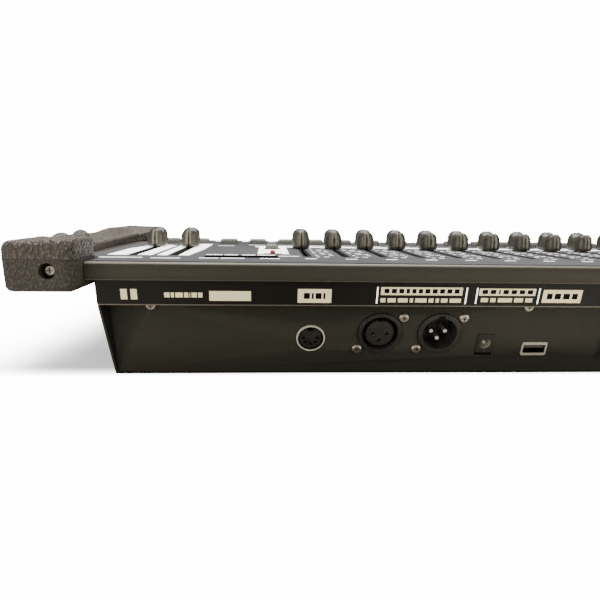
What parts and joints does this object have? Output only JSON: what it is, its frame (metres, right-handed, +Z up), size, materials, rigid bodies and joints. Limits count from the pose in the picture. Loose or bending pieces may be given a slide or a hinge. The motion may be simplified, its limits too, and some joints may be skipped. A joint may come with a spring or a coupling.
{
  "type": "lighting control desk",
  "caption": "Low console with channel and master faders, front push buttons, a small display, side grips and rear sockets.",
  "frame": {"origin": "middle of the bounding box in plan, on the plane the feet stand on", "axes": "+Z up, +Y towards the sockets at the rear, +X towards the right hand of somebody who sits at -Y"},
  "size_m": [0.52, 0.2038, 0.0816],
  "materials": {
    "case_paint": "satin",
    "overlay_print": "satin",
    "window_tint": "gloss",
    "module_plastic": "matte",
    "led_red": "gloss",
    "grip_plastic": "matte",
    "socket_plastic": "satin",
    "nickel": "satin",
    "knob_plastic": "satin",
    "button_plastic": "satin",
    "frame_steel": "satin",
    "board_laminate": "satin",
    "screw_steel": "satin",
    "foot_rubber": "matte"
  },
  "bodies": {
    "root": {"base_tub": "case_paint", "button_switches": "module_plastic", "dc_jack": "socket_plastic", "deck_overlay": "overlay_print", "din_socket": "socket_plastic", "display_module": "module_plastic", "display_window": "window_tint", "fader_frames": "frame_steel", "grip_left_lower": "grip_plastic", "grip_left_upper": "grip_plastic", "grip_right_lower": "grip_plastic", "grip_right_upper": "grip_plastic", "indicator_led": "led_red", "label_strip": "case_paint", "main_board": "board_laminate", "phillips_screws": "screw_steel", "power_switch_body": "socket_plastic", "rubber_feet": "foot_rubber", "socket_plate": "case_paint", "top_cover": "case_paint", "usb_socket": "nickel", "xlr_female_socket": "socket_plastic", "xlr_male_socket": "socket_plastic"},
    "button_01": {"button_01": "button_plastic"},
    "button_02": {"button_02": "button_plastic"},
    "button_03": {"button_03": "button_plastic"},
    "button_04": {"button_04": "button_plastic"},
    "button_05": {"button_05": "button_plastic"},
    "button_06": {"button_06": "button_plastic"},
    "button_07": {"button_07": "button_plastic"},
    "button_08": {"button_08": "button_plastic"},
    "button_09": {"button_09": "button_plastic"},
    "button_10": {"button_10": "button_plastic"},
    "button_11": {"button_11": "button_plastic"},
    "button_12": {"button_12": "button_plastic"},
    "button_13": {"button_13": "button_plastic"},
    "button_14": {"button_14": "button_plastic"},
    "button_15": {"button_15": "button_plastic"},
    "button_16": {"button_16": "button_plastic"},
    "button_17": {"button_17": "button_plastic"},
    "fader_channel_01": {"fader_channel_01": "knob_plastic"},
    "fader_channel_02": {"fader_channel_02": "knob_plastic"},
    "fader_channel_03": {"fader_channel_03": "knob_plastic"},
    "fader_channel_04": {"fader_channel_04": "knob_plastic"},
    "fader_channel_05": {"fader_channel_05": "knob_plastic"},
    "fader_channel_06": {"fader_channel_06": "knob_plastic"},
    "fader_channel_07": {"fader_channel_07": "knob_plastic"},
    "fader_channel_08": {"fader_channel_08": "knob_plastic"},
    "fader_channel_09": {"fader_channel_09": "knob_plastic"},
    "fader_channel_10": {"fader_channel_10": "knob_plastic"},
    "fader_channel_11": {"fader_channel_11": "knob_plastic"},
    "fader_channel_12": {"fader_channel_12": "knob_plastic"},
    "fader_channel_13": {"fader_channel_13": "knob_plastic"},
    "fader_channel_14": {"fader_channel_14": "knob_plastic"},
    "fader_channel_15": {"fader_channel_15": "knob_plastic"},
    "fader_channel_16": {"fader_channel_16": "knob_plastic"},
    "fader_master_1": {"fader_master_1": "knob_plastic"},
    "fader_master_2": {"fader_master_2": "knob_plastic"},
    "power_rocker": {"power_rocker": "socket_plastic"},
    "select_button": {"select_button": "button_plastic"}
  },
  "joints": [
    {"name": "button_01_press", "type": "slide", "parent": "root", "child": "button_01", "axis": [0, 0.0698, -0.9976], "range_m": [0, 0.0008], "stiffness_N_per_m": 400, "springref_m": -0.001},
    {"name": "button_02_press", "type": "slide", "parent": "root", "child": "button_02", "axis": [0, 0.0698, -0.9976], "range_m": [0, 0.0008], "stiffness_N_per_m": 400, "springref_m": -0.001},
    {"name": "button_03_press", "type": "slide", "parent": "root", "child": "button_03", "axis": [0, 0.0698, -0.9976], "range_m": [0, 0.0008], "stiffness_N_per_m": 400, "springref_m": -0.001},
    {"name": "button_04_press", "type": "slide", "parent": "root", "child": "button_04", "axis": [0, 0.0698, -0.9976], "range_m": [0, 0.0008], "stiffness_N_per_m": 400, "springref_m": -0.001},
    {"name": "button_05_press", "type": "slide", "parent": "root", "child": "button_05", "axis": [0, 0.0698, -0.9976], "range_m": [0, 0.0008], "stiffness_N_per_m": 400, "springref_m": -0.001},
    {"name": "button_06_press", "type": "slide", "parent": "root", "child": "button_06", "axis": [0, 0.0698, -0.9976], "range_m": [0, 0.0008], "stiffness_N_per_m": 400, "springref_m": -0.001},
    {"name": "button_07_press", "type": "slide", "parent": "root", "child": "button_07", "axis": [0, 0.0698, -0.9976], "range_m": [0, 0.0008], "stiffness_N_per_m": 400, "springref_m": -0.001},
    {"name": "button_08_press", "type": "slide", "parent": "root", "child": "button_08", "axis": [0, 0.0698, -0.9976], "range_m": [0, 0.0008], "stiffness_N_per_m": 400, "springref_m": -0.001},
    {"name": "button_09_press", "type": "slide", "parent": "root", "child": "button_09", "axis": [0, 0.0698, -0.9976], "range_m": [0, 0.0008], "stiffness_N_per_m": 400, "springref_m": -0.001},
    {"name": "button_10_press", "type": "slide", "parent": "root", "child": "button_10", "axis": [0, 0.0698, -0.9976], "range_m": [0, 0.0008], "stiffness_N_per_m": 400, "springref_m": -0.001},
    {"name": "button_11_press", "type": "slide", "parent": "root", "child": "button_11", "axis": [0, 0.0698, -0.9976], "range_m": [0, 0.0008], "stiffness_N_per_m": 400, "springref_m": -0.001},
    {"name": "button_12_press", "type": "slide", "parent": "root", "child": "button_12", "axis": [0, 0.0698, -0.9976], "range_m": [0, 0.0008], "stiffness_N_per_m": 400, "springref_m": -0.001},
    {"name": "button_13_press", "type": "slide", "parent": "root", "child": "button_13", "axis": [0, 0.0698, -0.9976], "range_m": [0, 0.0008], "stiffness_N_per_m": 400, "springref_m": -0.001},
    {"name": "button_14_press", "type": "slide", "parent": "root", "child": "button_14", "axis": [0, 0.0698, -0.9976], "range_m": [0, 0.0008], "stiffness_N_per_m": 400, "springref_m": -0.001},
    {"name": "button_15_press", "type": "slide", "parent": "root", "child": "button_15", "axis": [0, 0.0698, -0.9976], "range_m": [0, 0.0008], "stiffness_N_per_m": 400, "springref_m": -0.001},
    {"name": "button_16_press", "type": "slide", "parent": "root", "child": "button_16", "axis": [0, 0.0698, -0.9976], "range_m": [0, 0.0008], "stiffness_N_per_m": 400, "springref_m": -0.001},
    {"name": "button_17_press", "type": "slide", "parent": "root", "child": "button_17", "axis": [0, 0.0698, -0.9976], "range_m": [0, 0.0008], "stiffness_N_per_m": 400, "springref_m": -0.001},
    {"name": "fader_channel_01_slide", "type": "slide", "parent": "root", "child": "fader_channel_01", "axis": [0, 0.9976, 0.0698], "range_m": [0, 0.06]},
    {"name": "fader_channel_02_slide", "type": "slide", "parent": "root", "child": "fader_channel_02", "axis": [0, 0.9976, 0.0698], "range_m": [0, 0.06]},
    {"name": "fader_channel_03_slide", "type": "slide", "parent": "root", "child": "fader_channel_03", "axis": [0, 0.9976, 0.0698], "range_m": [0, 0.06]},
    {"name": "fader_channel_04_slide", "type": "slide", "parent": "root", "child": "fader_channel_04", "axis": [0, 0.9976, 0.0698], "range_m": [0, 0.06]},
    {"name": "fader_channel_05_slide", "type": "slide", "parent": "root", "child": "fader_channel_05", "axis": [0, 0.9976, 0.0698], "range_m": [0, 0.06]},
    {"name": "fader_channel_06_slide", "type": "slide", "parent": "root", "child": "fader_channel_06", "axis": [0, 0.9976, 0.0698], "range_m": [0, 0.06]},
    {"name": "fader_channel_07_slide", "type": "slide", "parent": "root", "child": "fader_channel_07", "axis": [0, 0.9976, 0.0698], "range_m": [0, 0.06]},
    {"name": "fader_channel_08_slide", "type": "slide", "parent": "root", "child": "fader_channel_08", "axis": [0, 0.9976, 0.0698], "range_m": [0, 0.06]},
    {"name": "fader_channel_09_slide", "type": "slide", "parent": "root", "child": "fader_channel_09", "axis": [0, 0.9976, 0.0698], "range_m": [0, 0.06]},
    {"name": "fader_channel_10_slide", "type": "slide", "parent": "root", "child": "fader_channel_10", "axis": [0, 0.9976, 0.0698], "range_m": [0, 0.06]},
    {"name": "fader_channel_11_slide", "type": "slide", "parent": "root", "child": "fader_channel_11", "axis": [0, 0.9976, 0.0698], "range_m": [0, 0.06]},
    {"name": "fader_channel_12_slide", "type": "slide", "parent": "root", "child": "fader_channel_12", "axis": [0, 0.9976, 0.0698], "range_m": [0, 0.06]},
    {"name": "fader_channel_13_slide", "type": "slide", "parent": "root", "child": "fader_channel_13", "axis": [0, 0.9976, 0.0698], "range_m": [0, 0.06]},
    {"name": "fader_channel_14_slide", "type": "slide", "parent": "root", "child": "fader_channel_14", "axis": [0, 0.9976, 0.0698], "range_m": [0, 0.06]},
    {"name": "fader_channel_15_slide", "type": "slide", "parent": "root", "child": "fader_channel_15", "axis": [0, 0.9976, 0.0698], "range_m": [0, 0.06]},
    {"name": "fader_channel_16_slide", "type": "slide", "parent": "root", "child": "fader_channel_16", "axis": [0, 0.9976, 0.0698], "range_m": [0, 0.06]},
    {"name": "fader_master_1_slide", "type": "slide", "parent": "root", "child": "fader_master_1", "axis": [0, 0.9976, 0.0698], "range_m": [0, 0.06]},
    {"name": "fader_master_2_slide", "type": "slide", "parent": "root", "child": "fader_master_2", "axis": [0, 0.9976, 0.0698], "range_m": [0, 0.06]},
    {"name": "power_rocker_hinge", "type": "hinge", "parent": "root", "child": "power_rocker", "pos_m": [-0.0563, 0.05968, 0.02084], "axis": [0, 0.1994, 0.9799], "range_deg": [0, 20]},
    {"name": "select_button_press", "type": "slide", "parent": "root", "child": "select_button", "axis": [0, 0.0698, -0.9976], "range_m": [0, 0.0008], "stiffness_N_per_m": 400, "springref_m": -0.001}
  ]
}
